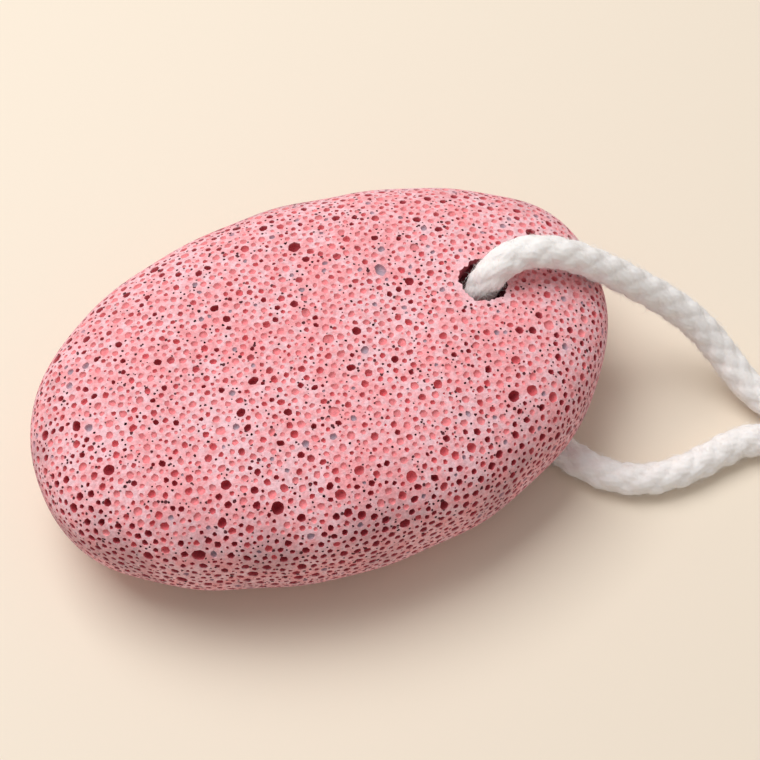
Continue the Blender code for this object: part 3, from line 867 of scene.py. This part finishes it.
# The hole's mouths: a ragged circle about the axis, found on each chart by a few Newton steps from the
# plan towards the wanted place.
def mouthLoop(pointAt, guess, radius, seed):
    rng = np.random.default_rng(seed)
    n = stoneLook["mouthSides"]
    angle = 2 * math.pi * np.arange(n) / n
    ragged = rng.uniform(-1, 1, n) * 0.6 + 0.5 * np.sin(5 * angle + 1) + 0.4 * np.sin(11 * angle + 2)
    reach = radius + stoneLook["mouthRagged"] * ragged
    goal = np.stack([holeX + reach * np.cos(angle), holeY + reach * np.sin(angle)], -1)
    spot = goal - guess
    step = stoneLook["chartStep"]
    for _ in range(stoneLook["newtonSteps"]):
        here = pointAt(*spot.T)[:, :2]
        du = (pointAt(spot[:, 0] + step, spot[:, 1])[:, :2] - here) / step
        dv = (pointAt(spot[:, 0], spot[:, 1] + step)[:, :2] - here) / step
        det = du[:, 0] * dv[:, 1] - du[:, 1] * dv[:, 0]
        miss = goal - here
        spot = spot + np.stack([miss[:, 0] * dv[:, 1] - miss[:, 1] * dv[:, 0],
                                miss[:, 1] * du[:, 0] - miss[:, 0] * du[:, 1]], -1) / det[:, None]
    return spot, pointAt(*spot.T)


crown = np.array([crownX, crownY])
topMouth, topMouthPoints = mouthLoop(stonePoint, crown, stoneLook["topMouth"], 3)
lowMouth, lowMouthPoints = mouthLoop(underPoint, crown, stoneLook["lowMouth"], 4)
upper = skinPatch(stonePoint, upperPlaces, upperRadii, upperKinds, seamChart, seamPoints,
                  topMouth, topMouthPoints, 51)
under = skinPatch(underPoint, underPlaces, underRadii, underKinds, seamPlan, seamPoints,
                  lowMouth, lowMouthPoints, 52)
print("patches made", len(upper[1]), len(under[1]))


# Joins both patches at the seam and runs the hole's wall between the mouths: the hole's radius plus each
# mouth's surplus, which fades with e to the minus depth over the flare, plus broken bubbles as dents.
def makeStoneMesh():
    seamSides, n, rings = stoneLook["seamSides"], stoneLook["mouthSides"], stoneLook["wallRings"]
    offset = len(upper[0]) - seamSides
    underFaces = under[1][:, ::-1]
    underFaces = np.where(underFaces < seamSides, underFaces, underFaces + offset)
    underRims = under[4] + offset
    points = [upper[0], under[0][seamSides:]]
    colours = [upper[2], under[2][seamSides:]]
    depths = [upper[3], under[3][seamSides:]]
    wallStart = len(upper[0]) + len(under[0]) - seamSides
    rng = np.random.default_rng(9)
    t = np.linspace(0, 1, rings + 2)[1:-1, None]
    top, low = topMouthPoints[None], lowMouthPoints[None]
    angle = 2 * math.pi * np.arange(n)[None] / n
    down = (topMouthPoints[:, 2] - lowMouthPoints[:, 2])[None] * t
    left = (topMouthPoints[:, 2] - lowMouthPoints[:, 2])[None] - down
    topReach = np.hypot(top[..., 0] - holeX, top[..., 1] - holeY)
    lowReach = np.hypot(low[..., 0] - holeX, low[..., 1] - holeY)
    flare = stoneLook["mouthFlare"]
    reach = holeRadius + (topReach - holeRadius) * np.exp(-down / flare) + (
        lowReach - holeRadius) * np.exp(-left / flare)
    dents = np.zeros_like(reach)
    for _ in range(stoneLook["dents"]):
        a = rng.uniform(0, 2 * math.pi)
        h = rng.uniform(0, stoneLook["dentSpan"])
        r = rng.uniform(*stoneLook["dentRadii"])
        turn = np.abs((angle - a + math.pi) % (2 * math.pi) - math.pi) * holeRadius
        ball = np.sqrt(np.clip(r * r - turn**2 - (down - h) ** 2, 0, None))
        dents = np.maximum(dents, ball * stoneLook["dentDepth"])
    reach = reach + dents + rng.normal(0, stoneLook["wallGrain"], reach.shape)
    z = topMouthPoints[:, 2][None] - down
    wall = np.stack([holeX + reach * np.cos(angle), holeY + reach * np.sin(angle), z], -1)
    points.append(wall.reshape(-1, 3))
    # Painted shade: the wall darkens from the mouth's colour with depth down the hole and in the dents.
    deep = np.clip(down / stoneLook["wallShadeDepth"], 0, 1)[..., None]
    darker = np.clip(stoneLook["holeShadeStrength"] * (deep + dents[..., None] / mm), 0, 1)
    shade = mouthTone + (holeShadeTone - mouthTone) * darker
    colours.append(shade.reshape(-1, 3))
    depths.append(np.full(wall.shape[0] * n, 0.5))
    topIndex = seamSides + np.arange(n)
    lowIndex = seamSides + offset + np.arange(n)
    rows = np.vstack([topIndex[None], wallStart + np.arange(rings * n).reshape(rings, n), lowIndex[None]])
    here, there = rows[:-1], rows[1:]
    wallFaces = np.concatenate([
        np.stack([here, np.roll(here, -1, 1), np.roll(there, -1, 1)], -1).reshape(-1, 3),
        np.stack([here, np.roll(there, -1, 1), there], -1).reshape(-1, 3),
    ])
    faces = np.vstack([upper[1], underFaces, wallFaces])
    return (np.vstack(points), faces, np.vstack(colours), np.concatenate(depths),
            np.vstack([upper[4], underRims]))


stonePoints, stoneFaces, stoneColours, stoneDepths, stoneRims = makeStoneMesh()

# Foamed glass: dull and powdery. The colour rides on the mesh, with painted shade in the pores and down the
# hole; noise adds worn pale dust and grain, and pin pores with painted shade.
stoneMaterial, tree, shader = makeMaterial("pink foamed glass, rubbed", Roughness=0.92)
place = addNode(tree, "ShaderNodeTexCoord").outputs["Object"]
tint = addNode(tree, "ShaderNodeAttribute", {"attribute_name": "tint"})
depth = addNode(tree, "ShaderNodeAttribute", {"attribute_name": "depth"})
# Powder grain of half a millimetre and finer on the rubbed skin.
grain = addNode(tree, "ShaderNodeTexNoise", {}, {
    "Vector": place, "Scale": 1 / (0.55 * mm), "Detail": 5.0, "Roughness": 0.65})
# Patches of about 11 mm where the skin is more worn and paler.
patches = addNode(tree, "ShaderNodeTexNoise", {}, {"Vector": place, "Scale": 1 / (11 * mm), "Detail": 3.0})
# One on the rubbed skin, nought inside the pores.
onSkin = ramp(tree, depth.outputs["Fac"], 0.02, 0.2, 1.0, 0.0)
# Pin pores up to 0.6 mm wide: a dot at the middle of about half the cells, which are 0.95 mm apart, painted
# dark maroon as the shade inside these tiny holes.
warp = addNode(tree, "ShaderNodeVectorMath", {"operation": "MULTIPLY_ADD"}, {
    0: grain.outputs["Color"], 1: (0.35 * mm,) * 3, 2: place})
pins = addNode(tree, "ShaderNodeTexVoronoi", {}, {"Vector": warp.outputs[0], "Scale": 1 / (0.95 * mm)})
chance = addNode(tree, "ShaderNodeSeparateColor", {}, {"Color": pins.outputs["Color"]})
size = ramp(tree, chance.outputs["Red"], 0.45, 1.0, 0.0, 0.34)
within = worked(tree, "SUBTRACT", size, pins.outputs["Distance"])
dot = worked(tree, "MULTIPLY", ramp(tree, within, 0.0, 0.08, 0.0, 1.0), onSkin)
# Worn powder: pale lilac where a noise of 1 to 2 mm and the slow patches are high.
powder = addNode(tree, "ShaderNodeTexNoise", {}, {
    "Vector": place, "Scale": 1 / (1.7 * mm), "Detail": 4.0, "Roughness": 0.65})
worn = worked(tree, "MULTIPLY_ADD", patches.outputs["Fac"], 0.45, powder.outputs["Fac"])
skin = mixed(tree, ramp(tree, worn, 0.62, 0.84, 0.0, 1.0), (*rubbedSkin, 1.0), paint("#FAC9D0"))
# Greyer skin in places on the sides and round the edge of the top, where use rubs off the pink.
height = addNode(tree, "ShaderNodeSeparateXYZ", {}, {"Vector": place}).outputs["Z"]
band = ramp(tree, height, 27 * mm, 22 * mm, 0.0, 1.0, "SMOOTHSTEP")
inPlaces = ramp(tree, patches.outputs["Fac"], 0.5, 0.38, 0.0, 0.6)
skin = mixed(tree, worked(tree, "MULTIPLY", inPlaces, band), skin, paint("#CDA9AE"))
# The pores' colours with their painted shade inside them, the skin with its dust outside.
dustAndPoreShade = mixed(tree, onSkin, tint.outputs["Color"], skin)
grained = addNode(tree, "ShaderNodeVectorMath", {"operation": "SCALE"}, {
    0: dustAndPoreShade, "Scale": ramp(tree, grain.outputs["Fac"], 0.3, 0.7, 0.74, 1.16)})
# Painted shade: the pin pores' dark colour over the skin.
pinned = mixed(tree, dot, grained.outputs[0], paint("#5A1A24"))
tree.links.new(pinned, shader.inputs["Base Color"])
# The grain stands up and the pin pores go down three times as far.
relief = worked(tree, "MULTIPLY_ADD", dot, -3.0, grain.outputs["Fac"])
bump = addNode(tree, "ShaderNodeBump", {}, {"Height": relief, "Distance": 0.2 * mm, "Strength": 0.85})
tree.links.new(bump.outputs["Normal"], shader.inputs["Normal"])

stone = meshObject("pumice_stone", stonePoints, stoneFaces.tolist(), stoneMaterial)
stoneMesh = stone.data
tintLayer = stoneMesh.color_attributes.new("tint", "FLOAT_COLOR", "POINT")
tintLayer.data.foreach_set("color", np.c_[stoneColours, np.ones(len(stoneColours))].ravel())
depthLayer = stoneMesh.attributes.new("depth", "FLOAT", "POINT")
depthLayer.data.foreach_set("value", stoneDepths)
# The rims stay crisp: their edges are marked sharp.
ends = np.empty(2 * len(stoneMesh.edges), int)
stoneMesh.edges.foreach_get("vertices", ends)
ends = np.sort(ends.reshape(-1, 2), axis=1)
count = len(stonePoints)
rimKeys = np.sort(stoneRims, axis=1)
isRim = np.isin(ends[:, 0] * count + ends[:, 1], rimKeys[:, 0] * count + rimKeys[:, 1])
sharp = stoneMesh.attributes.new("sharp_edge", "BOOLEAN", "EDGE")
sharp.data.foreach_set("value", isRim)
print("stone made", len(stoneFaces), "triangles")

# what stands for what
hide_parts("stone")
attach(stone, "root")
for piece, node in ((upperCord, "cord_upper"), (lowerCord, "cord_lower")):
    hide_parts(node)
for piece in (upperCord, lowerCord, upperFuzz, lowerFuzz, *knotPieces):
    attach(piece, "root")
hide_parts("cord_knot")

# floor and light: a plain pale table under a broad soft light from above and behind
lightLook = dict(
    worldColour=(1.0, 0.985, 0.97, 1.0),
    worldStrength=0.4,
    keyPlace=(-0.15, 0.36, 0.8),
    keyEnergy=6.4,
    keySize=0.6,
)
# Painted table top: matt and warm, so that shadows on it stay soft.
floorMaterial = makeMaterial("pale painted table top", Roughness=0.6, Base_Color=paint("#EFE1CE"))[0]
corners = [(-2, -2, 0), (2, -2, 0), (2, 2, 0), (-2, 2, 0)]
floor = meshObject("floor", corners, [(0, 1, 2, 3)], floorMaterial)
world = bpy.data.worlds.new("soft room")
world.use_nodes = True
world.node_tree.nodes["Background"].inputs["Color"].default_value = lightLook["worldColour"]
world.node_tree.nodes["Background"].inputs["Strength"].default_value = lightLook["worldStrength"]
bpy.context.scene.world = world
bpy.context.scene.view_settings.view_transform = "Standard"
lamp = bpy.data.objects.new("key", bpy.data.lights.new("key", "AREA"))
lamp.data.energy = lightLook["keyEnergy"]
lamp.data.size = lightLook["keySize"]
lamp.location = lightLook["keyPlace"]
lamp.rotation_euler = Vector(lightLook["keyPlace"]).to_track_quat("Z", "Y").to_euler()
bpy.context.scene.collection.objects.link(lamp)
